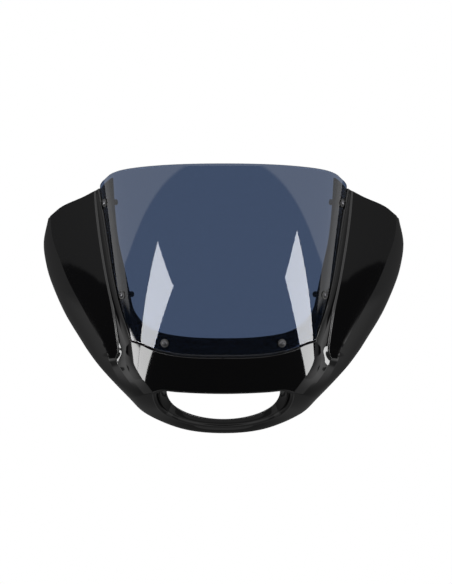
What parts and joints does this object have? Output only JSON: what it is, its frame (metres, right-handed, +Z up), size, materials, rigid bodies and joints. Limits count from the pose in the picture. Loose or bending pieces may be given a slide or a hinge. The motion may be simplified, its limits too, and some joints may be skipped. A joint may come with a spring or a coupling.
{
  "type": "motorcycle headlight fairing",
  "caption": "Wide headlight fairing with a one-piece gloss shell, recessed wing panels, a ring round the headlight and a wrapped smoked windscreen.",
  "frame": {"origin": "middle of the fork bracket's four bosses, in the plane of their rear faces", "axes": "+X to the right as seen from ahead of the motorcycle, +Y to the rear, +Z up"},
  "size_m": [0.6598, 0.3715, 0.4659],
  "materials": {
    "gloss_black": "polished gloss black",
    "smoked_sheet": "polished dark smoke",
    "black_screw": "black zinc",
    "washer_nylon": "satin",
    "nut_rubber": "matte",
    "insert_brass": "turned"
  },
  "bodies": {
    "root": {"shell": "gloss_black", "windscreen": "smoked_sheet", "screw_1": "black_screw", "screw_2": "black_screw", "screw_3": "black_screw", "screw_4": "black_screw", "screw_5": "black_screw", "screw_6": "black_screw", "washer_1": "washer_nylon", "washer_2": "washer_nylon", "washer_3": "washer_nylon", "washer_4": "washer_nylon", "washer_5": "washer_nylon", "washer_6": "washer_nylon", "well_nut_1": "nut_rubber", "well_nut_2": "nut_rubber", "well_nut_3": "nut_rubber", "well_nut_4": "nut_rubber", "well_nut_5": "nut_rubber", "well_nut_6": "nut_rubber", "insert_1": "insert_brass", "insert_2": "insert_brass", "insert_3": "insert_brass", "insert_4": "insert_brass"}
  },
  "joints": []
}
